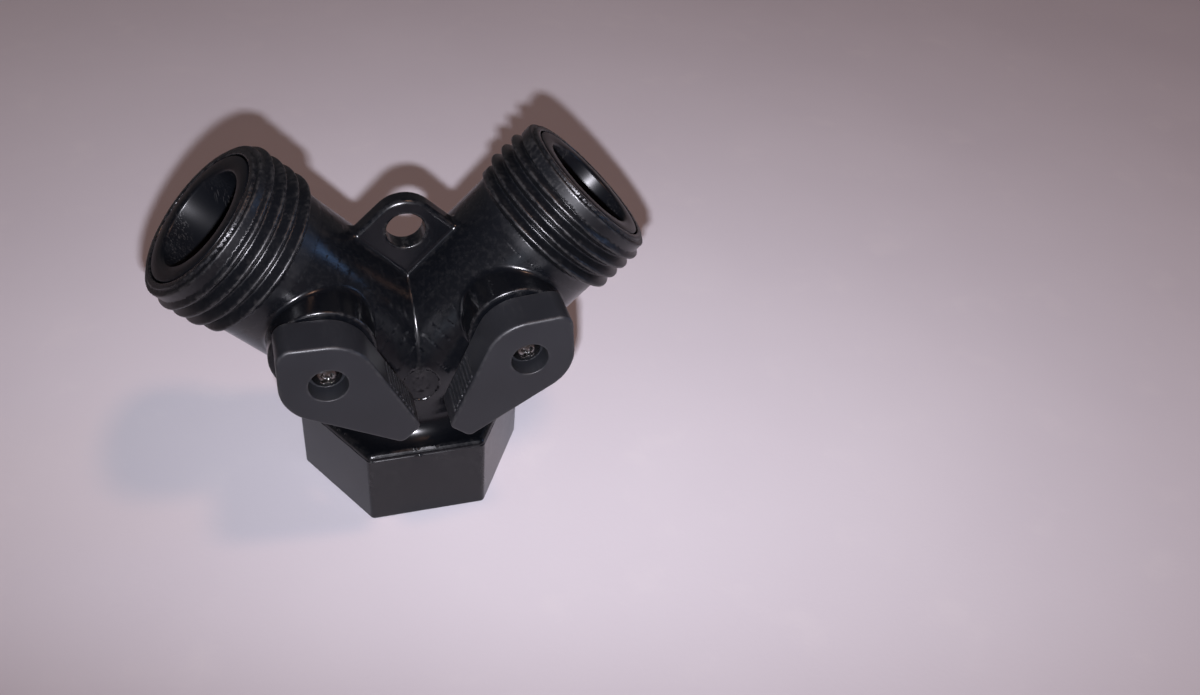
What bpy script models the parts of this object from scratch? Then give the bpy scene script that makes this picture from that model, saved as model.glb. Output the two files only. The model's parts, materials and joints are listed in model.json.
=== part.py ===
"""A two-way hose splitter with a ball shut-off in each branch.

Metres, +Z up. The splitter stands on its inlet hex, the branches rise to the left (-X) and
right (+X), and the levers face -Y. Parts of a branch are drawn in the branch's own frame, whose
Z runs along the pipe to the outlet. Parts that turn with a lever are drawn in the stem's frame,
whose Z runs out along the stem and whose Y runs along the pipe to the outlet.
"""

from math import acos, atan2, ceil, cos, hypot, pi, radians, sin, sqrt, tan

import bmesh
import bpy
from mathutils import Matrix

MM = 0.001
SIDES = {"left": -1, "right": 1}
UPRIGHT = Matrix.Rotation(pi / 2, 3, "X")  # turns what is drawn along Z to face -Y
EXTRA = 1.0 * MM  # how far a cutter runs past the face that it cuts
GAP = 0.3 * MM  # between pieces that touch on the real thing

# Garden hose thread, 3/4 inch
PITCH = 25.4 * MM / 11.5
CREST_FLAT = 0.35 * MM
FLANK_SLOPE = tan(radians(30))
MALE_CREST_R = 13.45 * MM
FEMALE_CREST_R = 12.35 * MM
FEMALE_ROOT_R = 13.6 * MM
LEAD_TURNS = 0.15  # part of a turn over which a thread rises to its full height
THREAD_SIDES = 40

# Housing
HEX_FLATS = 32.4 * MM
HEX_HEIGHT = 14.4 * MM
HEX_EDGE = 1.0 * MM
SOCKET_DEPTH = 12.6 * MM
PIPE_R = 12.0 * MM
NECK_FLARE = 3.6 * MM
NECK_PROUD = 0.15 * MM  # so that the neck's wall isn't the pipes' own
NECK_TOP = [(9.6 * MM, 24.3 * MM), (4.8 * MM, 26.3 * MM), (0, 26.3 * MM)]  # inside the pipes
JUNCTION_Z = 21.3 * MM
BRANCH_ANGLE = radians(44)
VALVE_AT = 21.0 * MM  # along a branch, from the junction to the stem's axis
OUTLET_AT = 42.2 * MM
THREAD_FROM = 30.2 * MM
THREAD_TURN = {"left": radians(10), "right": radians(59)}  # about the pipe's axis
BAND_FROM = 39.9 * MM
BAND_R = 12.75 * MM
RIM_R = 11.9 * MM
RIM_LENGTH = 0.5 * MM
OUTLET_EDGE = 0.2 * MM
BOSS_R = 7.8 * MM
BOSS_TOP = 15.8 * MM  # above the pipe's axis, as are all the heights of the stem's frame
BOSS_EDGE = 0.3 * MM
PAD_R = 2.9 * MM
PAD_Z = 24.6 * MM
PAD_FRONT = 11.6 * MM

# Waterway
SOCKET_MOUTH_R = 14.25 * MM
SOCKET_THREAD_FROM = 0.9 * MM
SOCKET_THREAD_TO = 9.4 * MM
INLET_WAY_R = 8.2 * MM
PASSAGE_R = 7.6 * MM
CHAMBER_R = 10.9 * MM
CHAMBER_FROM = VALVE_AT - 8.4 * MM

# Hanging ear
EAR_THICK = 3.2 * MM
EAR_HOLE_R = 3.0 * MM
EAR_HOLE_Z = 46.9 * MM
EAR_R = 5.3 * MM
EAR_EDGE = 0.75 * MM
EAR_SINK = 1.7 * MM  # how far its root runs into the crotch of the pipes
EAR_SIDE = 8.0 * MM  # of each straight side, from the shoulder into the pipe

# Ball, seats and their retainer
BALL_R = 9.8 * MM
BALL_BORE_R = 6.3 * MM
SLOT_WIDTH = 3.4 * MM
SLOT_FLOOR = 7.0 * MM
SEAT_BORE_R = 6.9 * MM
SEAT_R = CHAMBER_R - GAP
SEAT_LIP_R = 8.4 * MM
SEAT_BACK = 8.2 * MM  # from the ball's centre
RETAINER_BORE_R = 8.0 * MM
RETAINER_GROOVE_R = 9.3 * MM
RETAINER_EDGE = 0.4 * MM
RETAINER_FROM = VALVE_AT + SEAT_BACK + 0.2 * MM
RETAINER_SEAL_AT = RETAINER_FROM + 2.6 * MM
O_RING_WIRE = 0.6 * MM
O_RING_PLAY = 0.2 * MM
O_RING_SQUEEZE = 0.15 * MM
INLET_WASHER_THICK = 2.8 * MM

# Stem, in the stem's frame
STEM_R = 3.7 * MM
STEM_HOLE_R = 4.0 * MM
BLADE_LOW = 7.3 * MM
BLADE_WIDTH = 8.2 * MM
BLADE_THICK = 2.8 * MM
FLANGE_LOW = 10.1 * MM
FLANGE_HIGH = 11.2 * MM
FLANGE_R = 4.6 * MM
TAB_R = 6.0 * MM
TAB_HALF_ANGLE = radians(14)
POCKET_LOW = 7.8 * MM  # inside the ball's chamber
POCKET_TOP = 12.1 * MM
POCKET_PLAY = radians(3)
WASHER_LOW = 11.4 * MM
WASHER_HIGH = 11.9 * MM
STEM_SEAL_AT = 13.9 * MM
STEM_TOP = 15.9 * MM  # of its round part
DRIVE_SIDE = 5.0 * MM
DRIVE_TOP = 18.6 * MM
PILOT_R = 1.5 * MM
PILOT_LOW = 12.0 * MM

# Lever, in the stem's frame
LEVER_LOW = 16.1 * MM
LEVER_TOP = 22.7 * MM
LEVER_WIDE_R = 6.9 * MM
LEVER_APEX_AT = 6.6 * MM
LEVER_APEX_R = 2.2 * MM
LEVER_TIP_AT = -16.5 * MM
LEVER_TIP_HALF = 2.3 * MM
LEVER_TIP_R = 1.1 * MM
LEVER_EDGE = 0.4 * MM
RECESS_R = 2.8 * MM
RECESS_FLOOR = 19.6 * MM
SOCKET_TOP = 18.8 * MM
RIBS = 8
RIB_PITCH = 0.9 * MM
RIB_WIDTH = 0.5 * MM
RIB_HEIGHT = 0.25 * MM
RIBS_FROM = 2.2 * MM  # from the tip
RIB_LOW = LEVER_LOW + 0.8 * MM
RIB_TOP = LEVER_TOP - 0.7 * MM
FULL_TURN = radians(90)
REST_TURN = {"left": 0.0, "right": radians(4.5)}  # how far each lever stands from fully open

# Lever screw, in the stem's frame
HEAD_LOW = 19.85 * MM
HEAD_R = 2.3 * MM
HEAD_HEIGHT = 1.3 * MM
HEAD_SHOULDER_R = 1.95 * MM
HEAD_CROWN_R = 1.05 * MM
HEAD_DROP = 0.26 * MM
SHANK_R = 1.25 * MM
SHANK_TIP = 12.6 * MM
CROSS_WIDTH = 0.7 * MM
CROSS_LENGTH = 2.6 * MM
CROSS_DEPTH = 0.8 * MM


def clear_scene():
    for obj in list(bpy.data.objects):
        bpy.data.objects.remove(obj, do_unlink=True)


def material(name, colour, roughness, metallic=0.0):
    made = bpy.data.materials.new(name)
    made.use_nodes = True
    shader = made.node_tree.nodes["Principled BSDF"]
    shader.inputs["Base Color"].default_value = (*colour, 1)
    shader.inputs["Roughness"].default_value = roughness
    shader.inputs["Metallic"].default_value = metallic
    return made


def empty(name, parent=None, location=(0, 0, 0), rotation=(0, 0, 0)):
    made = bpy.data.objects.new(name, None)
    made.parent = parent
    made.location = location
    made.rotation_euler = rotation
    bpy.context.scene.collection.objects.link(made)
    return made


def solid(name, bm, frame, look=None):
    """The object of a bmesh, in a frame given as (parent, turn about its Z); a cutter has no look."""
    parent, turn = frame
    bmesh.ops.recalc_face_normals(bm, faces=bm.faces)
    mesh = bpy.data.meshes.new(name)
    bm.to_mesh(mesh)
    bm.free()
    mesh.shade_smooth()
    mesh.set_sharp_from_angle(angle=radians(35))
    made = bpy.data.objects.new(name, mesh)
    made.parent = parent
    made.rotation_euler = (0, 0, turn)
    bpy.context.scene.collection.objects.link(made)
    if look:
        mesh.materials.append(look)
    else:
        made.hide_render = True
        made.display_type = "WIRE"
    return made


def boolean(target, operation, tool):
    modifier = target.modifiers.new(f"{operation.lower()} {tool.name}", "BOOLEAN")
    modifier.operation = operation
    modifier.object = tool


def lathe(outline, sides):
    """A solid turned about Z from (radius, height) points; an open outline ends on the axis."""
    bm = bmesh.new()
    rings = []
    for radius, height in outline:
        if radius == 0:
            rings.append([bm.verts.new((0, 0, height))] * sides)
            continue
        angles = [2 * pi * i / sides for i in range(sides)]
        rings.append([bm.verts.new((radius * cos(a), radius * sin(a), height)) for a in angles])
    closed = outline[0][0] > 0
    pairs = list(zip(rings, rings[1:] + rings[:1] if closed else rings[1:]))
    for low, high in pairs:
        for i in range(sides):
            j = (i + 1) % sides
            corners = dict.fromkeys([low[i], low[j], high[j], high[i]])
            bm.faces.new(corners)
    return bm


def prism(outline, low, high):
    """The (x, y) outline drawn out along Z."""
    bm = bmesh.new()
    base = bm.faces.new([bm.verts.new((x, y, low)) for x, y in outline])
    drawn = bmesh.ops.extrude_face_region(bm, geom=[base])
    top = [item for item in drawn["geom"] if isinstance(item, bmesh.types.BMVert)]
    bmesh.ops.translate(bm, verts=top, vec=(0, 0, high - low))
    return bm


def cylinder(radius, low, high, sides):
    return lathe([(0, low), (radius, low), (radius, high), (0, high)], sides)


def box(width, depth, low, high):
    x, y = width / 2, depth / 2
    return prism([(-x, -y), (x, -y), (x, y), (-x, y)], low, high)


def arc(centre, radius, start, end, steps):
    """Points of an arc in a plane, both ends included."""
    angles = [start + (end - start) * i / steps for i in range(steps + 1)]
    return [(centre[0] + radius * cos(a), centre[1] + radius * sin(a)) for a in angles]


def bevel_edges(bm, width, segments, choose):
    edges = [edge for edge in bm.edges if choose(*[vert.co for vert in edge.verts])]
    bmesh.ops.bevel(bm, geom=edges, offset=width, segments=segments, profile=0.5, affect="EDGES")


def threaded_rod(root_r, crest_r, low, high, ends):
    """A threaded solid along Z; ends are the (radius, height) rings below and above the thread.

    Each turn of the helix is four rows of points: the foot, the two crest edges and the foot.
    """
    flank = (crest_r - root_r) * FLANK_SLOPE
    rows = [(0, 0), (flank, 1), (flank + CREST_FLAT, 1), (2 * flank + CREST_FLAT, 0)]
    ridge_turns = (high - low - 2 * flank - CREST_FLAT) / PITCH
    turns = ceil((high - low) / PITCH) + 1
    levels = [(turn, *row) for turn in range(-1, turns) for row in rows]

    def point(level, step):
        turn, offset, raised = level
        along = turn + step / THREAD_SIDES
        fade = min(along, ridge_turns - along) / LEAD_TURNS
        radius = root_r + (crest_r - root_r) * raised * min(1, max(0, fade))
        angle = 2 * pi * step / THREAD_SIDES
        height = min(high, max(low, low + offset + PITCH * along))
        return radius * cos(angle), radius * sin(angle), height

    bm = bmesh.new()
    columns = [[bm.verts.new(point(level, step)) for level in levels] for step in range(THREAD_SIDES)]
    last = len(levels) - 1
    following = columns[1:] + [[columns[0][min(i + len(rows), last)] for i in range(last + 1)]]
    for here, beyond in zip(columns, following):
        for i in range(last):
            corners = dict.fromkeys([here[i], beyond[i], beyond[i + 1], here[i + 1]])
            if len(corners) > 2:
                bm.faces.new(corners)
    below, above = ends
    for rings, foot in ((below, 0), (above, last)):
        edge = [column[foot] for column in columns]
        for radius, height in rings:
            angles = [2 * pi * step / THREAD_SIDES for step in range(THREAD_SIDES)]
            ring = [bm.verts.new((radius * cos(a), radius * sin(a), height)) for a in angles]
            for i in range(THREAD_SIDES):
                j = (i + 1) % THREAD_SIDES
                bm.faces.new([edge[i], edge[j], ring[j], ring[i]])
            edge = ring
        bm.faces.new(edge)
    bmesh.ops.remove_doubles(bm, verts=bm.verts, dist=1e-7)
    return bm


def o_ring(radius, height):
    circle = arc((radius, height), O_RING_WIRE, 0, 2 * pi, 8)[:-1]
    return lathe(circle, 24)


def grooved(outer_r, floor_r, centre):
    """Outline points of a seal groove in a turned outer face, from low to high."""
    half = O_RING_WIRE + O_RING_PLAY
    low, high = centre - half, centre + half
    return [(outer_r, low), (floor_r, low), (floor_r, high), (outer_r, high)]


def hex_block():
    radius = HEX_FLATS / sqrt(3)
    bm = prism(arc((0, 0), radius, 0, 2 * pi, 6)[:-1], 0, HEX_HEIGHT)
    bevel_edges(bm, HEX_EDGE, 2, lambda a, b: abs(a.z - b.z) > EXTRA)
    bevel_edges(bm, HEX_EDGE, 2, lambda a, b: min(a.z, b.z) > HEX_HEIGHT - EXTRA / 2)
    bevel_edges(bm, HEX_EDGE / 2, 1, lambda a, b: max(a.z, b.z) < EXTRA / 4)
    return bm


def neck():
    flare_r = PIPE_R + NECK_FLARE
    flare = arc((flare_r, HEX_HEIGHT + NECK_FLARE), NECK_FLARE, 1.5 * pi, pi, 5)
    foot = HEX_HEIGHT - EXTRA
    wall_r = PIPE_R + NECK_PROUD
    wall = [(wall_r, flare[-1][1]), (wall_r, JUNCTION_Z)]
    return lathe([(0, foot), (flare_r, foot), *flare[:-1], *wall, *NECK_TOP], 40)


def branch_pipe():
    """The pipe with its thread, the plain band that ends it and the rim."""
    top = OUTLET_AT - RIM_LENGTH
    band = [(BAND_R, BAND_FROM), (BAND_R, top - OUTLET_EDGE), (BAND_R - OUTLET_EDGE, top)]
    rim = [(RIM_R, top), (RIM_R, OUTLET_AT - OUTLET_EDGE), (RIM_R - OUTLET_EDGE, OUTLET_AT)]
    return threaded_rod(PIPE_R, MALE_CREST_R, THREAD_FROM, BAND_FROM, ([(PIPE_R, 0)], band + rim))


def ear():
    """The plate between the branches, square to each pipe at its shoulders."""
    root = JUNCTION_Z + PIPE_R / sin(BRANCH_ANGLE) - EAR_SINK
    shoulder = (EAR_R * sin(BRANCH_ANGLE), EAR_HOLE_Z + EAR_R * cos(BRANCH_ANGLE))
    side = (EAR_SIDE * cos(BRANCH_ANGLE), -EAR_SIDE * sin(BRANCH_ANGLE))
    foot = (shoulder[0] + side[0], shoulder[1] + side[1])
    crown = arc((0, EAR_HOLE_Z), EAR_R, pi / 2 - BRANCH_ANGLE, pi / 2 + BRANCH_ANGLE, 8)
    outline = [(0, root), foot, *crown, (-foot[0], foot[1])]
    bm = prism(outline, -EAR_THICK / 2, EAR_THICK / 2)
    bevel_edges(bm, EAR_EDGE, 2, lambda a, b: a.z == b.z and min(a.y, b.y) > root + EXTRA)
    bmesh.ops.rotate(bm, verts=bm.verts, matrix=UPRIGHT)
    return bm


def ear_hole():
    bm = cylinder(EAR_HOLE_R, -EAR_THICK, EAR_THICK, 24)
    bmesh.ops.rotate(bm, verts=bm.verts, matrix=UPRIGHT)
    bmesh.ops.translate(bm, verts=bm.verts, vec=(0, 0, EAR_HOLE_Z))
    return bm


def gate_pad():
    bm = cylinder(PAD_R, PIPE_R / 2, PAD_FRONT, 20)
    bmesh.ops.rotate(bm, verts=bm.verts, matrix=UPRIGHT)
    bmesh.ops.translate(bm, verts=bm.verts, vec=(0, 0, PAD_Z))
    return bm


def stem_boss():
    rounded = [(BOSS_R, BOSS_TOP - BOSS_EDGE), (BOSS_R - BOSS_EDGE, BOSS_TOP)]
    return lathe([(0, PIPE_R / 2), (BOSS_R, PIPE_R / 2), *rounded, (0, BOSS_TOP)], 40)


def tabbed_disc(radius, tab_r, start, end):
    """A round outline with a wider sector from start to end."""
    return arc((0, 0), tab_r, start, end, 8) + arc((0, 0), radius, end, start + 2 * pi, 16)


def tab_angle(side):
    """Where the stop tab points with the valve fully open: halfway between inlet and outside."""
    return -pi / 2 + side * pi / 4


def stop_pocket(side):
    """The room under the boss for the stem's flange, and for its tab over a quarter turn."""
    reach = TAB_HALF_ANGLE + POCKET_PLAY
    ends = sorted([tab_angle(side), tab_angle(side) + side * FULL_TURN])
    outline = tabbed_disc(FLANGE_R + GAP, TAB_R + GAP, ends[0] - reach, ends[1] + reach)
    return prism(outline, POCKET_LOW, POCKET_TOP)


def inlet_thread():
    ends = ([(SOCKET_MOUTH_R, -EXTRA)], [(FEMALE_CREST_R, SOCKET_DEPTH)])
    return threaded_rod(FEMALE_CREST_R, FEMALE_ROOT_R, SOCKET_THREAD_FROM, SOCKET_THREAD_TO, ends)


def inlet_way():
    dome = arc((0, JUNCTION_Z), INLET_WAY_R, 0, pi / 2, 5)[:-1]
    foot = SOCKET_DEPTH - EXTRA
    return lathe([(0, foot), (INLET_WAY_R, foot), *dome, (0, JUNCTION_Z + INLET_WAY_R)], 32)


def valve_body(look, root, branches, stems):
    """The moulded housing: everything is joined first and then hollowed out."""
    body = solid("valve_body", hex_block(), (root, 0), look)
    joined = [solid("join_neck", neck(), (root, 0)), solid("join_ear", ear(), (root, 0))]
    joined.append(solid("join_gate_pad", gate_pad(), (root, 0)))
    cuts = [solid("cut_inlet_way", inlet_way(), (root, 0)), solid("cut_ear_hole", ear_hole(), (root, 0))]
    for name, side in SIDES.items():
        branch, stem = branches[name], stems[name]
        joined.append(solid(f"join_{name}_pipe", branch_pipe(), (branch, THREAD_TURN[name])))
        joined.append(solid(f"join_{name}_boss", stem_boss(), (stem, 0)))
        passage = cylinder(PASSAGE_R, 0, CHAMBER_FROM + EXTRA, 32)
        chamber = cylinder(CHAMBER_R, CHAMBER_FROM, OUTLET_AT + EXTRA, THREAD_SIDES)
        cuts.append(solid(f"cut_{name}_passage", passage, (branch, 0)))
        cuts.append(solid(f"cut_{name}_chamber", chamber, (branch, 0)))
        cuts.append(solid(f"cut_{name}_stop_pocket", stop_pocket(side), (stem, 0)))
        stem_hole = cylinder(STEM_HOLE_R, 0, BOSS_TOP + EXTRA, 24)
        cuts.append(solid(f"cut_{name}_stem_hole", stem_hole, (stem, 0)))
    cuts.append(solid("cut_inlet_thread", inlet_thread(), (root, 0)))
    for tool in joined:
        boolean(body, "UNION", tool)
    for tool in cuts:
        boolean(body, "DIFFERENCE", tool)


def inlet_washer(look, root):
    high = SOCKET_DEPTH - O_RING_PLAY
    low = high - INLET_WASHER_THICK
    inner, outer = INLET_WAY_R, FEMALE_CREST_R - GAP
    washer = lathe([(inner, low), (outer, low), (outer, high), (inner, high)], 32)
    solid("inlet_washer", washer, (root, 0), look)


def seat(facing):
    """A seat ring, hollowed to the ball; facing is 1 on the outlet side and -1 on the inlet side."""
    hollow_r = BALL_R + GAP
    angles = [acos(radius / hollow_r) for radius in (SEAT_BORE_R, SEAT_LIP_R)]
    hollow = arc((0, 0), hollow_r, angles[0], angles[1], 3)
    outline = [(SEAT_BORE_R, SEAT_BACK), *hollow, (SEAT_R, hollow[-1][1]), (SEAT_R, SEAT_BACK)]
    return lathe([(radius, VALVE_AT + facing * height) for radius, height in outline], 28)


def seat_retainer():
    foot = [(RETAINER_BORE_R, RETAINER_FROM), (SEAT_R, RETAINER_FROM)]
    groove = grooved(SEAT_R, RETAINER_GROOVE_R, RETAINER_SEAL_AT)
    bore = [(RETAINER_BORE_R + RETAINER_EDGE, OUTLET_AT), (RETAINER_BORE_R, OUTLET_AT - RETAINER_EDGE)]
    return lathe([*foot, *groove, (SEAT_R, OUTLET_AT), *bore], 32)


def ball(name, frame, look):
    curve = arc((0, 0), BALL_R, -pi / 2, pi / 2, 12)[1:-1]
    made = solid(name, lathe([(0, -BALL_R), *curve, (0, BALL_R)], 28), frame, look)
    bore = cylinder(BALL_BORE_R, -BALL_R - EXTRA, BALL_R + EXTRA, 24)
    bmesh.ops.rotate(bore, verts=bore.verts, matrix=UPRIGHT)
    boolean(made, "DIFFERENCE", solid(f"cut_{name}_bore", bore, frame))
    slot = box(2 * BALL_R + EXTRA, SLOT_WIDTH, SLOT_FLOOR, BALL_R + EXTRA)
    boolean(made, "DIFFERENCE", solid(f"cut_{name}_slot", slot, frame))


def stem(name, side, frame, look):
    groove = grooved(STEM_R, STEM_R - 2 * O_RING_WIRE - O_RING_PLAY / 2, STEM_SEAL_AT)
    foot = (FLANGE_LOW + FLANGE_HIGH) / 2
    shaft = lathe([(0, foot), (STEM_R, foot), *groove, (STEM_R, STEM_TOP), (0, STEM_TOP)], 24)
    made = solid(name, shaft, frame, look)
    tab = [tab_angle(side) + end * TAB_HALF_ANGLE for end in (-1, 1)]
    flange = prism(tabbed_disc(FLANGE_R, TAB_R, *tab), FLANGE_LOW, FLANGE_HIGH)
    boolean(made, "UNION", solid(f"join_{name}_flange", flange, frame))
    blade = box(BLADE_WIDTH, BLADE_THICK, BLADE_LOW, foot)
    boolean(made, "UNION", solid(f"join_{name}_blade", blade, frame))
    drive = box(DRIVE_SIDE, DRIVE_SIDE, STEM_TOP - EXTRA, DRIVE_TOP)
    boolean(made, "UNION", solid(f"join_{name}_drive", drive, frame))
    pilot = cylinder(PILOT_R, PILOT_LOW, DRIVE_TOP + EXTRA, 16)
    boolean(made, "DIFFERENCE", solid(f"cut_{name}_pilot", pilot, frame))


def tangent_angle(first, first_r, second, second_r, turn):
    """The direction of the normal of the line that touches two circles on one side."""
    across, along = second[0] - first[0], second[1] - first[1]
    return atan2(along, across) + turn * acos((first_r - second_r) / hypot(across, along))


def lever_outline():
    """The kite: a blunt tip toward the inlet, two wide rounded shoulders and a rounded apex."""
    corner = (LEVER_TIP_HALF - LEVER_TIP_R, LEVER_TIP_AT + LEVER_TIP_R)
    apex = (0, LEVER_APEX_AT)
    side_angle = tangent_angle((0, 0), LEVER_WIDE_R, corner, LEVER_TIP_R, 1)
    apex_angle = tangent_angle((0, 0), LEVER_WIDE_R, apex, LEVER_APEX_R, -1)
    half = arc(corner, LEVER_TIP_R, -pi / 2, side_angle, 4)
    half += arc((0, 0), LEVER_WIDE_R, side_angle, apex_angle, 8)
    half += arc(apex, LEVER_APEX_R, apex_angle, pi / 2, 4)
    return half + [(-x, y) for x, y in reversed(half[:-1])], side_angle


def grip_ribs(side_angle):
    """Upright ribs on both flanks near the tip, each a thin block standing out of the flank."""
    bm = bmesh.new()
    normal = (cos(side_angle), sin(side_angle))
    along = (-normal[1], normal[0])
    corner = (LEVER_TIP_HALF - LEVER_TIP_R, LEVER_TIP_AT + LEVER_TIP_R)
    start = [corner[i] + LEVER_TIP_R * normal[i] for i in (0, 1)]
    for side in SIDES.values():
        for rib in range(RIBS):
            near = RIBS_FROM + rib * RIB_PITCH - LEVER_TIP_R
            far = near + RIB_WIDTH
            foot = [(near, -RIB_WIDTH), (far, -RIB_WIDTH)]
            corners = []
            for reach, out in foot + [(far, RIB_HEIGHT), (near, RIB_HEIGHT)]:
                spot = [start[i] + reach * along[i] + out * normal[i] for i in (0, 1)]
                corners.append((side * spot[0], spot[1]))
            base = bm.faces.new([bm.verts.new((x, y, RIB_LOW)) for x, y in corners])
            drawn = bmesh.ops.extrude_face_region(bm, geom=[base])
            top = [item for item in drawn["geom"] if isinstance(item, bmesh.types.BMVert)]
            bmesh.ops.translate(bm, verts=top, vec=(0, 0, RIB_TOP - RIB_LOW))
    return bm


def lever(name, frame, look):
    outline, side_angle = lever_outline()
    bm = prism(outline, LEVER_LOW, LEVER_TOP)
    bevel_edges(bm, LEVER_EDGE, 2, lambda a, b: min(a.z, b.z) > LEVER_TOP - EXTRA / 10)
    made = solid(name, bm, frame, look)
    boolean(made, "UNION", solid(f"join_{name}_ribs", grip_ribs(side_angle), frame))
    recess = cylinder(RECESS_R, RECESS_FLOOR, LEVER_TOP + EXTRA, 24)
    boolean(made, "DIFFERENCE", solid(f"cut_{name}_recess", recess, frame))
    screw_hole = cylinder(PILOT_R, LEVER_LOW, LEVER_TOP, 16)
    boolean(made, "DIFFERENCE", solid(f"cut_{name}_screw_hole", screw_hole, frame))
    socket_side = DRIVE_SIDE + 2 * O_RING_PLAY
    socket = box(socket_side, socket_side, LEVER_LOW - EXTRA, SOCKET_TOP)
    boolean(made, "DIFFERENCE", solid(f"cut_{name}_socket", socket, frame))


def lever_screw(name, frame, look):
    rim = HEAD_LOW + HEAD_HEIGHT / 2
    top = HEAD_LOW + HEAD_HEIGHT
    dome = [(HEAD_R, rim), (HEAD_SHOULDER_R, top - HEAD_DROP), (HEAD_CROWN_R, top - HEAD_DROP / 6)]
    shank = [(0, SHANK_TIP), (SHANK_R, SHANK_TIP + SHANK_R), (SHANK_R, HEAD_LOW)]
    made = solid(name, lathe([*shank, (HEAD_R, HEAD_LOW), *dome, (0, top)], 20), frame, look)
    for index, size in enumerate([(CROSS_LENGTH, CROSS_WIDTH), (CROSS_WIDTH, CROSS_LENGTH)]):
        cross = box(*size, top - CROSS_DEPTH, top + EXTRA)
        boolean(made, "DIFFERENCE", solid(f"cut_{name}_cross_{index}", cross, frame))


def build():
    clear_scene()
    housing = material("housing_plastic", (0.012, 0.012, 0.014), 0.38)
    handle = material("lever_plastic", (0.014, 0.014, 0.016), 0.45)
    inner = material("ball_plastic", (0.02, 0.02, 0.022), 0.3)
    rubber = material("rubber", (0.01, 0.01, 0.01), 0.7)
    steel = material("screw_steel", (0.6, 0.6, 0.62), 0.25, 1.0)

    # The origin is under the middle of the whole object's box, a little in front of the hex's axis.
    root = empty("splitter", location=(0, (LEVER_TOP - HEX_FLATS / 2) / 2, 0))
    branches, stems = {}, {}
    for name, side in SIDES.items():
        branches[name] = empty(f"{name}_branch", root, (0, 0, JUNCTION_Z), (0, side * BRANCH_ANGLE, 0))
        stems[name] = empty(f"{name}_stem_axis", branches[name], (0, 0, VALVE_AT), (pi / 2, 0, 0))

    valve_body(housing, root, branches, stems)
    inlet_washer(rubber, root)
    for name, side in SIDES.items():
        fixed = (branches[name], 0)
        turned = (stems[name], side * REST_TURN[name])
        solid(f"{name}_inner_seat", seat(-1), fixed, rubber)
        solid(f"{name}_outer_seat", seat(1), fixed, rubber)
        solid(f"{name}_seat_retainer", seat_retainer(), fixed, housing)
        retainer_ring = o_ring(RETAINER_GROOVE_R + O_RING_PLAY + O_RING_WIRE, RETAINER_SEAL_AT)
        solid(f"{name}_retainer_o_ring", retainer_ring, fixed, rubber)
        ball(f"{name}_ball", turned, inner)
        stem(f"{name}_stem", side, turned, inner)
        washer = [(STEM_R + O_RING_PLAY, WASHER_LOW), (FLANGE_R, WASHER_LOW)]
        washer += [(radius, WASHER_HIGH) for radius, _ in reversed(washer)]
        solid(f"{name}_thrust_washer", lathe(washer, 24), turned, inner)
        stem_ring = o_ring(STEM_R - O_RING_WIRE + O_RING_SQUEEZE, STEM_SEAL_AT)
        solid(f"{name}_stem_o_ring", stem_ring, turned, rubber)
        lever(f"{name}_lever", turned, handle)
        lever_screw(f"{name}_lever_screw", turned, steel)


build()
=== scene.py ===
"""Looks of the two-way hose splitter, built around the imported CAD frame.

Shapes are worked out in millimetres about the inlet's axis and moved to the row frame, in metres,
when their mesh is made. Moulded pieces are signed distance fields, so that their edges and corners
are rounded as a mould rounds them; a field becomes a mesh by dual contouring. Parts of a branch are
drawn in the branch's own frame, whose Z runs along the pipe to the outlet, and what turns with a
lever in the stem's frame, whose Z runs out along the stem and whose Y runs to the outlet.
"""

import json
from concurrent.futures import ThreadPoolExecutor
from math import atan2, ceil, cos, hypot, pi, radians, sin, tan

import bmesh
import bpy
import numpy as np
from mathutils import Matrix, Vector


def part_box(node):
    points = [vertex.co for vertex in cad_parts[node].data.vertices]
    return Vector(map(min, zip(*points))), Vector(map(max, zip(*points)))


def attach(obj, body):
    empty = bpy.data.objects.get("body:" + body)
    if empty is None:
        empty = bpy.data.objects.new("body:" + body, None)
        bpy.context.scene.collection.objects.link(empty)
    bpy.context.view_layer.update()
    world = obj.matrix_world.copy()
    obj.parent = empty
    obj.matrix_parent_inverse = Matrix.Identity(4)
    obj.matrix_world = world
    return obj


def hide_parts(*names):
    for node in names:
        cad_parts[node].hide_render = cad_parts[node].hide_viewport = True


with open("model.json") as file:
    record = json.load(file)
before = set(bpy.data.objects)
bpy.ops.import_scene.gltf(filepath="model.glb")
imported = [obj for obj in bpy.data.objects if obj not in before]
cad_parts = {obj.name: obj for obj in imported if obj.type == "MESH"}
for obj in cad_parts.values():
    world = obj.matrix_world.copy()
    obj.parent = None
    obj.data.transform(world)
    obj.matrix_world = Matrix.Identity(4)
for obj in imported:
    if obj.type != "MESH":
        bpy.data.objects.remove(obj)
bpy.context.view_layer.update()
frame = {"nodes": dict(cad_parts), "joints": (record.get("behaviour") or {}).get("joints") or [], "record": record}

MM = 0.001
SIDES = {"left": -1, "right": 1}

# Hex, neck and waterway
HEX_FLATS = 32.4
HEX_HEIGHT = 14.4
HEX_EDGE = 1.0
FOOT_EDGE = 0.4
PARTING_Z = 13.4
PARTING_STEP = 0.09
PARTING_HALF = 0.05
SOCKET_DEPTH = 12.6
SOCKET_THREAD_FROM = 0.9
SOCKET_BEVEL = 0.6
PIPE_R = 12.0
NECK_FLARE = 3.6
NECK_FILLET = 0.15
JUNCTION_Z = 21.3
INLET_WAY_R = 8.2
PASSAGE_R = 7.6
CHAMBER_R = 10.9
CHAMBER_BEFORE = 8.4  # the stem's axis, along the pipe
POCKET_R = 6.3
POCKET_TOP = 12.1
WAY_EDGE = 0.12
PAD_R = 2.9
PAD_FRONT = 11.6
PAD_TILT = radians(6)
PAD_SLOPE = radians(30)
PAD_EDGE = 0.3
GATE_Z = 24.6
GATE_R = 1.3
GATE_DEPTH = 0.05
GATE_WIDTH = 0.2
NUB_AT = (-1.2, 13.3)
NUB_R = 0.3

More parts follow.
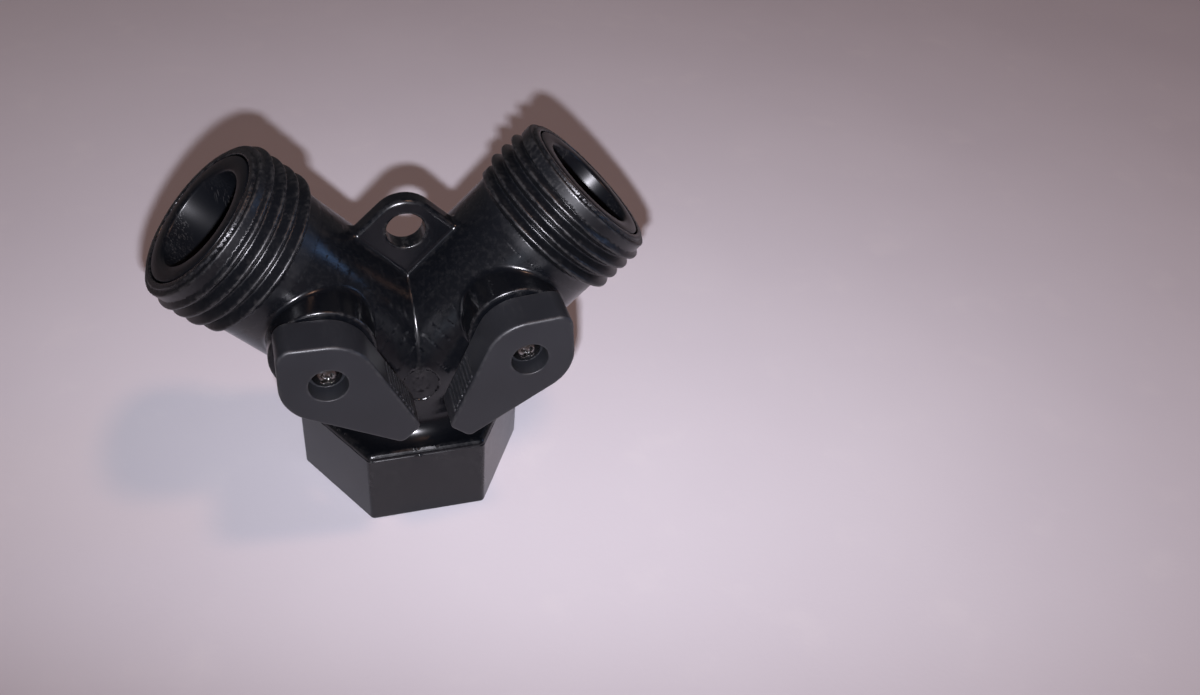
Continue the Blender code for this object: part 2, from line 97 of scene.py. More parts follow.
# Garden hose thread, 3/4 inch
PITCH = 25.4 / 11.5
CREST_HALF = 0.175
CREST_EDGE = 0.06
MALE_CREST_R = 13.45
FEMALE_CREST_R = 12.35
FEMALE_ROOT_R = 13.6
OUTLET_AT = 42.2
THREAD_FROM = 30.2
BAND_FROM = 39.9
BAND_R = 12.75
BAND_EDGE = 0.25
RIM_R = 11.9
RIM_LENGTH = 0.5
RIM_EDGE = 0.15
RIM_ROOT = 2  # how far it runs back into the pipe

# Where a thread's ridge would be at no turn, then the turns where it rises, where it stops, and the
# turns that it takes to do either
INLET_THREAD = (1.8, 0.0, 3.03, 0.15)
OUTLET_THREADS = {-1: (32.25, 0.0, 3.85, 0.15), 1: (30.85, 0.3, 4.55, 0.25)}

# Boss and ear
BOSS_R = 7.8
BOSS_TOP = 15.8
BOSS_EDGE = 0.35
BOSS_FILLET = 0.7
STEM_HOLE_R = 4.0
EAR_THICK = 3.2
EAR_EDGE = 0.75
EAR_FILLET = 0.8
EAR_HOLE_R = 3.0
EAR_HOLE_Z = 46.9
EAR_R = 5.3

# Lever, in the stem's frame
LEVER_LOW = 16.1
LEVER_TOP = 22.7
LEVER_EDGE = 0.45
LEVER_WIDE_R = 6.9
APEX_AT = 6.6
APEX_R = 2.2
TIP_AT = -16.5
TIP_HALF = 2.3
TIP_R = 1.1
RECESS_R = 2.8
RECESS_FLOOR = 19.6
RECESS_EDGE = 0.15
DRIVE_HALF = 2.7
DRIVE_TOP = 18.8
SCREW_HOLE_R = 1.5
RIBS = 8
RIB_PITCH = 0.9
RIB_HEIGHT = 0.25
RIBS_FROM = 2.2

# Screw head and ball
HEAD_LOW = 19.85
HEAD_R = 2.3
HEAD_HEIGHT = 1.3
HEAD_EDGE = 0.35
DOME_FLATTER = 0.6  # than a sphere through the rim and the crown
SHANK_R = 1.25
SHANK_LOW = 12.6
CROSS_HALF = 1.3
CROSS_WIDTH = 0.62
CROSS_DEPTH = 0.85
CROSS_EDGE = 0.06
BALL_R = 9.8
BALL_BORE_R = 6.3
BALL_BORE_EDGE = 0.35
SLOT_HALF = 1.7
SLOT_FLOOR = 7.0
SLOT_EDGE = 0.2

# Bushing in each outlet's end
RETAINER_BORE_R = 8.0
RETAINER_GAP = 0.3
RETAINER_RIM_EDGE = 0.15
RETAINER_BORE_EDGE = 0.45

# The frame gives where the inlet's axis is, and the joints where the stems are.
HEX_AXIS = Vector((0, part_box("valve_body")[1].y - HEX_FLATS / 2 * MM, 0))
JOINTS = {joint["child"].split("_")[0]: joint for joint in frame["joints"]}
STEM_AT = Vector(JOINTS["right"]["pos_m"]) - HEX_AXIS - Vector((0, 0, JUNCTION_Z * MM))
BRANCH_ANGLE = atan2(STEM_AT.x, STEM_AT.z)
VALVE_AT = STEM_AT.length / MM
REST_TURN = {"left": 0.0, "right": -radians(JOINTS["right"]["range_deg"][0])}

LONG_FACE = 1.1  # a face wider than this lies on a flat or along a straight round
FLAT_TILT = radians(3.5)
CURVE_REACH = 0.3  # over which an edge's or a hollow's curvature is measured

COARSER = 1  # how much coarser the fields are meshed while trying things


# ---------------------------------------------------------------- signed distance fields


def rounded_min(a, b, radius):
    """Union with a fillet."""
    return np.maximum(radius, np.minimum(a, b)) - np.hypot(
        np.maximum(radius - a, 0), np.maximum(radius - b, 0)
    )


def rounded_max(a, b, radius):
    """Intersection with a rounded edge."""
    return np.minimum(-radius, np.maximum(a, b)) + np.hypot(
        np.maximum(a + radius, 0), np.maximum(b + radius, 0)
    )


def ramp(value, start, end):
    share = np.clip((value - start) / (end - start), 0, 1)
    return share * share * (3 - 2 * share)


def hexagon(x, y, apothem):
    """Distance to a regular hexagon whose flats face +-Y."""
    across, up = np.abs(x), np.abs(y)
    fold = 2 * np.minimum(up * sin(pi / 6) - across * cos(pi / 6), 0)
    across = across + fold * cos(pi / 6)
    up = up - fold * sin(pi / 6) - apothem
    half_side = apothem * tan(pi / 6)
    across = across - np.clip(across, -half_side, half_side)
    return np.hypot(across, up) * np.sign(up)


def hex_block(x, y, z):
    """The hex, a hair smaller above its parting line, with a sharper edge where it stands."""
    above_parting = ramp(z, PARTING_Z - PARTING_HALF, PARTING_Z + PARTING_HALF)
    apothem = HEX_FLATS / 2 - HEX_EDGE - PARTING_STEP * above_parting
    sideways = hexagon(x, y, apothem)
    upwards = z - (HEX_HEIGHT - HEX_EDGE)
    block = np.hypot(np.maximum(sideways, 0), np.maximum(upwards, 0))
    block = block + np.minimum(np.maximum(sideways, upwards), 0) - HEX_EDGE
    return rounded_max(block, -z, FOOT_EDGE)


def capsule(radius_from_axis, along, radius):
    """A round bar with a ball end at the junction."""
    return np.where(along > 0, radius_from_axis, np.hypot(radius_from_axis, along)) - radius


def neck(radial, z):
    """The neck, flaring out to the hex's top face, with a ball end at the junction."""
    flare_r, flare_top = PIPE_R + NECK_FLARE, HEX_HEIGHT + NECK_FLARE
    flare = NECK_FLARE - np.hypot(radial - flare_r, z - flare_top)
    beyond = np.hypot(radial - flare_r, z - HEX_HEIGHT)
    foot = np.where(radial < flare_r, flare, beyond)
    above = np.maximum(z - JUNCTION_Z, 0)
    wall = np.where(z < flare_top, foot, np.hypot(radial, above) - PIPE_R)
    return np.maximum(wall, HEX_HEIGHT / 2 - z)


def threaded(radial, angle, along, root_r, crest_r, turns):
    """A right-hand thread on a round bar, laid out as turns says."""
    start, first, last, lead = turns
    part = np.mod(angle, 2 * pi) / (2 * pi)
    travelled = np.round((along - start) / PITCH - part) + part
    height = np.clip(np.minimum(travelled - first, last - travelled) / lead, 0, 1)
    off = np.abs(along - start - PITCH * travelled)
    side = (radial - crest_r) * sin(pi / 6) + (off - CREST_HALF) * cos(pi / 6)
    top = radial - (root_r + (crest_r - root_r) * height)
    return rounded_min(rounded_max(side, top, CREST_EDGE), radial - root_r, CREST_EDGE)


def branch_frame(side, x, z):
    """Across and along a branch, from hex coordinates; Y is the same in both."""
    tilt = side * BRANCH_ANGLE
    up = z - JUNCTION_Z
    return x * cos(tilt) - up * sin(tilt), x * sin(tilt) + up * cos(tilt)


def outlet(side, across, y, along):
    """A pipe with its thread, the plain band that ends it and the rim."""
    radial = np.hypot(across, y)
    angle = np.arctan2(y, across) + (pi if side < 0 else 0)
    end = OUTLET_AT - RIM_LENGTH
    pipe = threaded(radial, angle, along, PIPE_R, MALE_CREST_R, OUTLET_THREADS[side])
    slope = (BAND_FROM - along) * cos(pi / 6) + (radial - BAND_R) * sin(pi / 6)
    pipe = np.minimum(pipe, np.maximum(radial - BAND_R, slope))
    pipe = np.where(along > 0, pipe, np.hypot(radial, along) - PIPE_R)
    pipe = rounded_max(pipe, along - end, BAND_EDGE)
    rim = rounded_max(radial - RIM_R, along - OUTLET_AT, RIM_EDGE)
    return np.minimum(pipe, np.maximum(rim, end - RIM_ROOT - along))


def boss(across, y, along):
    stem_radius = np.hypot(across, along - VALVE_AT)
    post = rounded_max(stem_radius - BOSS_R, -y - BOSS_TOP, BOSS_EDGE)
    return np.maximum(post, y)


def ear(x, y, z):
    """The plate between the branches: a round crown whose sides run square to each pipe."""
    across, up = np.abs(x), z - EAR_HOLE_Z
    square = across * sin(BRANCH_ANGLE) + up * cos(BRANCH_ANGLE)
    past = across * cos(BRANCH_ANGLE) - up * sin(BRANCH_ANGLE)
    outline = np.where(past < 0, np.hypot(across, up), square) - EAR_R
    outline = np.maximum(outline, branch_frame(1, across, z)[0])
    plate = rounded_max(outline, np.abs(y) - EAR_THICK / 2, EAR_EDGE)
    hole = EAR_HOLE_R - np.hypot(x, up)
    return rounded_max(plate, hole, EAR_EDGE / 3)


def gate_pad(x, y, z):
    """The flat spot where the mould fills, sloping off into the fork, and the shallow well over it."""
    radial = np.hypot(x, z - GATE_Z)
    ring = GATE_DEPTH * np.exp(-(((radial - GATE_R) / GATE_WIDTH) ** 2))
    proud = -y - PAD_FRONT + (z - GATE_Z) * tan(PAD_TILT) + ring
    slope = (radial - PAD_R) * sin(PAD_SLOPE) + proud * cos(PAD_SLOPE)
    pad = np.maximum(np.maximum(proud, slope), y + PIPE_R / 2)
    return pad, np.maximum(radial - PAD_R, -proud)


def waterway(x, y, z, radial):
    """Everything that is hollow: socket with its thread, ways, chambers and stem holes."""
    angle = np.arctan2(y, x)
    socket = threaded(radial, angle, z, FEMALE_CREST_R, FEMALE_ROOT_R, INLET_THREAD)
    mouth = (radial - FEMALE_CREST_R + z - SOCKET_THREAD_FROM - SOCKET_BEVEL) * cos(pi / 4)
    hollow = np.maximum(np.minimum(socket, mouth), z - SOCKET_DEPTH)
    up = z - JUNCTION_Z
    way = np.where(up > 0, np.hypot(radial, up), radial) - INLET_WAY_R
    hollow = np.minimum(hollow, np.maximum(way, SOCKET_DEPTH - 1 - z))
    for side in SIDES.values():
        across, along = branch_frame(side, x, z)
        from_axis = np.hypot(across, y)
        hollow = np.minimum(hollow, np.maximum(capsule(from_axis, along, PASSAGE_R), along - VALVE_AT))
        hollow = np.minimum(hollow, np.maximum(from_axis - CHAMBER_R, VALVE_AT - CHAMBER_BEFORE - along))
        from_stem = np.hypot(across, along - VALVE_AT)
        pocket = np.maximum(from_stem - POCKET_R, -y - POCKET_TOP)
        hole = np.minimum(from_stem - STEM_HOLE_R, pocket)
        hollow = np.minimum(hollow, np.maximum(hole, y))
    return hollow


def housing(x, y, z):
    """The whole moulding."""
    radial = np.hypot(x, y)
    outer = np.minimum(hex_block(x, y, z), neck(radial, z))
    pipes = neck(radial, z)
    branches = [branch_frame(side, x, z) for side in SIDES.values()]
    for side, (across, along) in zip(SIDES.values(), branches):
        pipes = rounded_min(pipes, outlet(side, across, y, along), NECK_FILLET)
    outer = np.minimum(outer, pipes)
    outer = rounded_min(outer, ear(x, y, z), EAR_FILLET)
    pad, well = gate_pad(x, y, z)
    outer = rounded_max(rounded_min(outer, pad, EAR_FILLET / 2), -well, PAD_EDGE)
    nub = np.sqrt((x - NUB_AT[0]) ** 2 + (y + HEX_FLATS / 2) ** 2 + (z - NUB_AT[1]) ** 2) - NUB_R
    outer = np.minimum(outer, nub)
    for across, along in branches:
        outer = rounded_min(outer, boss(across, y, along), BOSS_FILLET)
    outer = np.maximum(outer, EAR_HOLE_R - np.hypot(x, z - EAR_HOLE_Z))
    return rounded_max(outer, -waterway(x, y, z, radial), WAY_EDGE)


def uneven_bar(across, along, near_r, far_r, length):
    """Distance in a plane to the hull of two circles, the near one at the start."""
    lean = (near_r - far_r) / length
    upright = (1 - lean * lean) ** 0.5
    reach = along * upright - across * lean
    near = np.hypot(across, along) - near_r
    far = np.hypot(across, along - length) - far_r
    middle = across * upright + along * lean - near_r
    return np.where(reach < 0, near, np.where(reach > upright * length, far, middle))


def lever(x, y, z):
    """The kite-shaped lever, with upright ribs on both flanks near its tip."""
    across = np.abs(x)
    corner = (TIP_HALF - TIP_R, TIP_AT + TIP_R)
    length = hypot(*corner)
    along = (across * corner[0] + y * corner[1]) / length
    sideways = (-across * corner[1] + y * corner[0]) / length
    flank = uneven_bar(np.abs(sideways), along, LEVER_WIDE_R, TIP_R, length)
    apex = uneven_bar(across, y, LEVER_WIDE_R, APEX_R, APEX_AT)
    blunt = np.maximum(np.maximum(across - corner[0], TIP_AT - y), y)
    outline = np.minimum(np.minimum(flank, apex), blunt)

    place = (length - along + TIP_R - RIBS_FROM) / RIB_PITCH
    ridge = ramp(np.cos(2 * pi * (place - 0.3)), -0.3, 0.5)
    among = ramp(place, -0.1, 0.1) * ramp(RIBS - place, -0.1, 0.1)
    deep = ramp(z, LEVER_LOW + 0.7, LEVER_LOW + 0.9) * ramp(LEVER_TOP - z, 0.6, 0.8)
    outline = outline - RIB_HEIGHT * ridge * among * deep * (sideways > 0)

    body = rounded_max(outline, z - LEVER_TOP, LEVER_EDGE)
    body = rounded_max(body, LEVER_LOW - z, LEVER_EDGE / 2)
    radial = np.hypot(x, y)
    recess = np.maximum(radial - RECESS_R, RECESS_FLOOR - z)
    body = rounded_max(body, -recess, RECESS_EDGE)
    drive = np.maximum(np.maximum(across, np.abs(y)) - DRIVE_HALF, z - DRIVE_TOP)
    return np.maximum(body, -np.minimum(drive, radial - SCREW_HOLE_R))


def lever_screw(x, y, z):
    """A pan head with a cross recess, on a plain shank."""
    radial = np.hypot(x, y)
    dome_r = (HEAD_R**2 + HEAD_HEIGHT**2) / (2 * HEAD_HEIGHT) + DOME_FLATTER
    dome = np.hypot(radial, z - (HEAD_LOW + HEAD_HEIGHT - dome_r)) - dome_r
    head = rounded_max(rounded_max(radial - HEAD_R, dome, HEAD_EDGE), HEAD_LOW - z, 0.1)
    top = HEAD_LOW + HEAD_HEIGHT
    depth = top - CROSS_DEPTH * (1 - ramp(radial, 0.4 * CROSS_HALF, 1.1 * CROSS_HALF))
    arms = np.minimum(np.abs(x), np.abs(y)) - CROSS_WIDTH / 2
    cross = np.maximum(np.maximum(arms, radial - CROSS_HALF), depth - z)
    shank = np.maximum(radial - np.minimum(SHANK_R, z - SHANK_LOW + 0.2), z - HEAD_LOW - 0.1)
    return np.minimum(rounded_max(head, -cross, CROSS_EDGE), np.maximum(shank, SHANK_LOW - z))


def ball(x, y, z):
    """The drilled ball, its bore along the pipe when open, with the slot that the stem turns."""
    sphere = np.sqrt(x * x + y * y + z * z) - BALL_R
    drilled = rounded_max(sphere, BALL_BORE_R - np.hypot(x, z), BALL_BORE_EDGE)
    slot = np.maximum(np.abs(y) - SLOT_HALF, SLOT_FLOOR - z)
    return rounded_max(drilled, -slot, SLOT_EDGE)


# ---------------------------------------------------------------- fields to meshes


def spaced(stops):
    """Grid coordinates through (from, step) stops, the last stop giving only the end."""
    runs = []
    for (start, step), (end, _) in zip(stops, stops[1:]):
        count = max(1, ceil((end - start) / (step * COARSER)))
        runs.append(np.linspace(start, end, count, endpoint=False))
    runs.append([stops[-1][0]])
    return np.concatenate(runs)


def sampled(distance, grid):
    """The field at every grid point, one level of Z at a time."""
    xs, ys = np.meshgrid(grid[0], grid[1], indexing="ij")
    xs, ys = xs.astype(np.float32), ys.astype(np.float32)

    def level(z):
        return distance(xs, ys, np.full_like(xs, z))

    with ThreadPoolExecutor(4) as pool:
        return np.stack(list(pool.map(level, grid[2])), axis=2)


def slopes(distance, points):
    """The field and its unit gradient at some points."""
    reach = 0.02
    here = distance(*points.T)
    rise = [
        distance(*(points + reach * unit).T) - distance(*(points - reach * unit).T)
        for unit in np.eye(3)
    ]
    gradient = np.stack(rise, axis=1) / (2 * reach)
    return here, gradient / np.maximum(np.linalg.norm(gradient, axis=1, keepdims=True), 1e-9)


def crossings(field, grid, axis):
    """Grid edges along one axis that the surface cuts: their indices, points and directions."""
    low = np.take(field, range(field.shape[axis] - 1), axis=axis)
    high = np.take(field, range(1, field.shape[axis]), axis=axis)
    cut = np.argwhere((low < 0) != (high < 0))
    before, after = low[tuple(cut.T)], high[tuple(cut.T)]
    points = np.stack([grid[k][cut[:, k]] for k in range(3)], axis=1)
    step = grid[axis][cut[:, axis] + 1] - grid[axis][cut[:, axis]]
    points[:, axis] += step * before / (before - after)
    return cut, points, before < 0


def dual_contour(distance, grid):
    """(vertices, quads) of the zero level: a vertex where the surfaces in each cut cell best meet."""
    field = sampled(distance, grid)
    cells = np.array(field.shape) - 1
    stride = np.array([cells[1] * cells[2], cells[2], 1])
    corners, faces, samples = [], [], []
    for axis in range(3):
        cut, points, rising = crossings(field, grid, axis)
        second, third = (axis + 1) % 3, (axis + 2) % 3
        around = []
        for back_second, back_third in ((1, 1), (0, 1), (0, 0), (1, 0)):
            cell = cut.copy()
            cell[:, second] -= back_second
            cell[:, third] -= back_third
            around.append(cell @ stride)
        around = np.stack(around, axis=1)
        faces.append(np.where(rising[:, None], around, around[:, ::-1]))
        samples.append(points)
        corners.append(around)
    points = np.concatenate(samples)
    normals = slopes(distance, points)[1]
    used, index = np.unique(np.concatenate(corners), return_inverse=True)
    index = index.reshape(-1, 4)

    def gathered(values):
        return sum(np.bincount(index[:, k], weights=values, minlength=len(used)) for k in range(4))

    count = gathered(np.ones(len(points)))
    middle = np.stack([gathered(points[:, k]) / count for k in range(3)], axis=1)
    offset = np.einsum("ij,ij->i", normals, points)
    matrix = np.empty((len(used), 3, 3))
    for i in range(3):
        for j in range(3):
            matrix[:, i, j] = gathered(normals[:, i] * normals[:, j])
    wanted = np.stack([gathered(normals[:, i] * offset) for i in range(3)], axis=1)
    wanted = wanted - np.einsum("nij,nj->ni", matrix, middle)
    steady = matrix + 0.08 * np.eye(3)
    moved = middle + np.linalg.solve(steady, wanted[:, :, None])[:, :, 0]
    place = np.stack(np.unravel_index(used, cells), axis=1)
    for k in range(3):
        moved[:, k] = np.clip(moved[:, k], grid[k][place[:, k]], grid[k][place[:, k] + 1])
    faces = np.searchsorted(used, np.concatenate(faces))
    return moved, faces


def mesh_of(name, points, faces):
    mesh = bpy.data.meshes.new(name)
    mesh.vertices.add(len(points))
    mesh.vertices.foreach_set("co", np.asarray(points, np.float32).ravel())
    mesh.loops.add(faces.size)
    mesh.loops.foreach_set("vertex_index", np.asarray(faces, np.int32).ravel())
    mesh.polygons.add(len(faces))
    mesh.polygons.foreach_set("loop_start", np.arange(0, faces.size, faces.shape[1], dtype=np.int32))
    mesh.update(calc_edges=True)
    mesh.validate()
    return mesh


def thinned(mesh, most_triangles):
    """The mesh with triangles taken out where it is flattest."""
    triangles = 2 * len(mesh.polygons)
    if triangles <= most_triangles:
        return mesh
    carrier = bpy.data.objects.new("thinning", mesh)
    bpy.context.scene.collection.objects.link(carrier)
    modifier = carrier.modifiers.new("thin", "DECIMATE")
    modifier.ratio = most_triangles / triangles
    graph = bpy.context.evaluated_depsgraph_get()
    made = bpy.data.meshes.new_from_object(carrier.evaluated_get(graph))
    bpy.data.objects.remove(carrier)
    return made


def points_of(mesh):
    points = np.empty(len(mesh.vertices) * 3, np.float32)
    mesh.vertices.foreach_get("co", points)
    return points.reshape(-1, 3).astype(float)


def corner_normals(mesh, points, normals):
    """A normal for each face corner: the field's, but a long face lies flat up to its rounded edges."""
    corner_vertex = np.empty(len(mesh.loops), np.int32)
    mesh.loops.foreach_get("vertex_index", corner_vertex)
    sides = np.empty(len(mesh.polygons), np.int32)
    mesh.polygons.foreach_get("loop_total", sides)
    starts = np.cumsum(sides) - sides
    flat = np.empty(3 * len(mesh.polygons), np.float32)
    mesh.polygons.foreach_get("normal", flat)
    flat = np.repeat(flat.reshape(-1, 3), sides, axis=0)
    corners = points[corner_vertex]
    width = np.maximum.reduceat(corners, starts) - np.minimum.reduceat(corners, starts)
    long_face = np.repeat(np.linalg.norm(width, axis=1) > LONG_FACE, sides)
    chosen = normals[corner_vertex]
    tilted = np.einsum("ij,ij->i", chosen, flat) < cos(FLAT_TILT)
    return np.where((long_face & tilted)[:, None], flat, chosen)


def moulded(name, distance, grid, placing, look, most_triangles=190_000, marks=()):
    """The object of a field, with the field's own normals and its edge wear; placing is in metres."""
    mesh = thinned(mesh_of(name, *dual_contour(distance, grid)), most_triangles // COARSER)
    points = points_of(mesh)
    for _ in range(2):
        gap, normals = slopes(distance, points)
        points = points - np.clip(gap, -0.05, 0.05)[:, None] * normals
    normals = slopes(distance, points)[1]
    around = [distance(*(points + turn * CURVE_REACH * unit).T) for unit in np.eye(3) for turn in (-1, 1)]
    bend = (sum(around) - 6 * distance(*points.T)) / CURVE_REACH**2
    layers = {"edge": np.clip(bend / 3, 0, 1), "hollow": np.clip(-bend / 3, 0, 1)}
    for mark, strength in marks:
        layers[mark] = strength(*points.T)
    for layer, values in layers.items():
        attribute = mesh.attributes.new(layer, "FLOAT", "POINT")
        attribute.data.foreach_set("value", np.asarray(values, np.float32))
    mesh.vertices.foreach_set("co", (points * MM).astype(np.float32).ravel())
    mesh.update()
    mesh.shade_smooth()
    mesh.normals_split_custom_set(corner_normals(mesh, points, normals).tolist())
    mesh.transform(placing)
    mesh.name = name
    mesh.materials.clear()
    mesh.materials.append(look)
    made = bpy.data.objects.new(name, mesh)
    bpy.context.scene.collection.objects.link(made)
    return made


def turned(name, outline, sides, placing, look):
    """A ring turned about Z from a closed outline of (radius, height) points, in millimetres."""
    bm = bmesh.new()
    angles = [2 * pi * i / sides for i in range(sides)]
    rings = [[bm.verts.new((r * cos(a), r * sin(a), h)) for a in angles] for r, h in outline]
    for low, high in zip(rings, rings[1:] + rings[:1]):
        for i in range(sides):
            bm.faces.new([low[i], low[i - 1], high[i - 1], high[i]])
    bmesh.ops.recalc_face_normals(bm, faces=bm.faces)
    bm.transform(placing @ Matrix.Scale(MM, 4))
    mesh = bpy.data.meshes.new(name)
    bm.to_mesh(mesh)
    bm.free()
    mesh.shade_smooth()
    mesh.set_sharp_from_angle(angle=radians(50))
    mesh.materials.append(look)
    made = bpy.data.objects.new(name, mesh)
    bpy.context.scene.collection.objects.link(made)
    return made


def rounded_corner(radius, height, inward, downward, size):
    """Three points round a corner of a turned outline, entered along inward and left along downward."""
    start = (radius + inward[0] * size, height + inward[1] * size)
    end = (radius + downward[0] * size, height + downward[1] * size)
    bulge = 0.3 * size
    middle = (radius + (inward[0] + downward[0]) * bulge, height + (inward[1] + downward[1]) * bulge)
    return [start, middle, end]


# ---------------------------------------------------------------- materials


# A mix node's sockets share their names across data types, so its colour ones go by index.
MIX_FIRST, MIX_SECOND, MIX_RESULT = 6, 7, 2


class Nodes:
    """A material's node tree, with short ways to add a node and to link it."""

    def __init__(self, name):
        self.made = bpy.data.materials.new(name)
        self.made.use_nodes = True
        self.tree = self.made.node_tree
        self.shader = self.tree.nodes["Principled BSDF"]
        self.place = self.add("ShaderNodeTexCoord").outputs["Object"]

    def add(self, kind, **settings):
        node = self.tree.nodes.new(kind)
        for key, value in settings.items():
            setattr(node, key, value)
        return node

    def feed(self, socket, value):
        if isinstance(value, bpy.types.NodeSocket):
            self.tree.links.new(value, socket)
        else:
            socket.default_value = value

    def maths(self, operation, *values, clamp=False):
        node = self.add("ShaderNodeMath", operation=operation, use_clamp=clamp)
        for socket, value in zip(node.inputs, values):
            self.feed(socket, value)
        return node.outputs[0]

    def ramp(self, value, low, high, start=0.0, end=1.0):
        node = self.add("ShaderNodeMapRange", interpolation_type="SMOOTHSTEP")
        for socket, setting in zip(node.inputs, (value, low, high, start, end)):
            self.feed(socket, setting)
        return node.outputs["Result"]

    def stretched(self, scale, turn=(0, 0, 0)):
        node = self.add("ShaderNodeMapping")
        self.feed(node.inputs["Vector"], self.place)
        node.inputs["Scale"].default_value = scale
        node.inputs["Rotation"].default_value = turn
        return node.outputs["Vector"]

    def noise(self, size_mm, detail=3.0, place=None, rough=0.55):
        """Noise whose features are about size_mm across."""
        node = self.add("ShaderNodeTexNoise")
        self.feed(node.inputs["Vector"], place or self.place)
        node.inputs["Scale"].default_value = 1 / (size_mm * MM)
        node.inputs["Detail"].default_value = detail
        node.inputs["Roughness"].default_value = rough
        return node.outputs["Fac"]

    def specks(self, spacing_mm, size):
        """Small spots, one in each cell about spacing_mm across, of random strength."""
        node = self.add("ShaderNodeTexVoronoi", feature="F1")
        self.feed(node.inputs["Vector"], self.place)
        node.inputs["Scale"].default_value = 1 / (spacing_mm * MM)
        spot = self.ramp(node.outputs["Distance"], size, 0.3 * size)
        chance = self.add("ShaderNodeSeparateColor")
        self.feed(chance.inputs[0], node.outputs["Color"])
        return self.maths("MULTIPLY", spot, self.ramp(chance.outputs[0], 0.55, 0.9))

    def hairlines(self, size_mm, turn, share):
        """Fine scratches that run one way, in patches."""
        place = self.stretched((1, 1, 0.03), turn)
        line = self.ramp(self.noise(size_mm, 1.0, place), 0.5 + share, 0.56 + share)
        return self.maths("MULTIPLY", line, self.ramp(self.noise(6, 1.0), 0.45, 0.6))

    def mixed(self, share, first, second):
        node = self.add("ShaderNodeMix", data_type="RGBA")
        self.feed(node.inputs["Factor"], share)
        self.feed(node.inputs[MIX_FIRST], first)
        self.feed(node.inputs[MIX_SECOND], second)
        return node.outputs[MIX_RESULT]

    def layer(self, name):
        """A value that the mesh holds at its points, such as how worn an edge is."""
        return self.add("ShaderNodeAttribute", attribute_name=name).outputs["Fac"]

    def bump(self, height, depth_mm, strength=1.0, under=None):
        node = self.add("ShaderNodeBump")
        node.inputs["Distance"].default_value = depth_mm * MM
        node.inputs["Strength"].default_value = strength
        self.feed(node.inputs["Height"], height)
        if under:
            self.feed(node.inputs["Normal"], under)
        return node.outputs["Normal"]

    def finish(self, colour, roughness, normal=None):
        self.feed(self.shader.inputs["Base Color"], colour)
        self.feed(self.shader.inputs["Roughness"], roughness)
        if normal:
            self.feed(self.shader.inputs["Normal"], normal)
        return self.made


def shade(colour):
    return (*colour, 1.0)


def moulded_plastic(name, colour, roughness, worn=0.0, threads=False, shine=0.42):
    """Black moulded plastic: faint flow marks, fine grain, dust specks, scuffed edges and scratches."""
    n = Nodes(name)
    n.shader.inputs["Specular IOR Level"].default_value = shine
    flow = n.noise(9, 2.0)
    scratches = n.maths(
        "MAXIMUM",
        n.hairlines(0.22, (0.3, 0.9, 0.2), 0.16 - 0.06 * worn),
        n.hairlines(0.3, (1.2, 0.2, 0.8), 0.17 - 0.06 * worn),
    )
    scratches = n.maths("MULTIPLY", scratches, 0.1 + 0.9 * worn)
    specks = n.maths("MULTIPLY", n.specks(1.6, 0.06), 0.3)
    hollows = n.maths("MULTIPLY", n.layer("hollow"), n.ramp(n.noise(0.8, 5.0), 0.45, 0.7))
    film = n.maths("MAXIMUM", n.maths("MULTIPLY", hollows, 0.1), n.maths("MULTIPLY", scratches, 0.3))
    edge = n.maths("MULTIPLY", n.layer("edge"), n.ramp(n.noise(0.9, 4.0), 0.4, 0.62))
    scuffed = n.maths("MULTIPLY", edge, 0.22)
    if threads:
        powder = n.ramp(n.noise(0.3, 6.0, rough=0.75), 0.53, 0.74)
        powder = n.maths("MULTIPLY", powder, n.ramp(n.noise(3, 2.0), 0.35, 0.6))
        powder = n.maths("MULTIPLY", powder, n.layer("thread"))
        film = n.maths("MAXIMUM", film, n.maths("MULTIPLY", powder, 0.4))
    pale = n.maths("MAXIMUM", n.maths("MAXIMUM", specks, film), scuffed, clamp=True)
    plain = n.mixed(flow, shade([0.8 * c for c in colour]), shade([1.2 * c for c in colour]))
    dusty = n.mixed(n.maths("MULTIPLY", pale, 0.45), plain, shade((0.12, 0.115, 0.11)))
    rough = n.ramp(flow, 0.3, 0.7, roughness - 0.02, roughness + 0.03)
    rough = n.maths("ADD", rough, n.maths("MULTIPLY", pale, 0.4), clamp=True)
    if threads:
        rough = n.maths("ADD", rough, n.maths("MULTIPLY", n.layer("thread"), 0.12), clamp=True)
    normal = n.bump(n.noise(0.28, 2.0), 0.0025)
    normal = n.bump(scratches, -0.006, under=normal)
    normal = n.bump(n.noise(4, 1.0), 0.015, under=normal)
    return n.finish(dusty, rough, normal)


def rubber(name, colour):
    """Smooth black rubber with a bloom that dulls it in patches."""
    n = Nodes(name)
    bloom = n.ramp(n.noise(1.5, 4.0), 0.45, 0.7)
    colour = n.mixed(bloom, shade(colour), shade([2.2 * c for c in colour]))
    rough = n.ramp(bloom, 0, 1, 0.55, 0.8)
    return n.finish(colour, rough, n.bump(n.noise(0.2), 0.01))


def screw_steel(name):
    """Bright plated steel: patches of darker, rougher tarnish, and a fine grain."""
    n = Nodes(name)
    n.shader.inputs["Metallic"].default_value = 1.0
    tarnish = n.ramp(n.noise(0.9, 4.0), 0.45, 0.7)
    colour = n.mixed(tarnish, shade((0.36, 0.355, 0.35)), shade((0.2, 0.195, 0.19)))
    rough = n.ramp(tarnish, 0, 1, 0.14, 0.3)
    return n.finish(colour, rough, n.bump(n.noise(0.3, 3.0), 0.006))


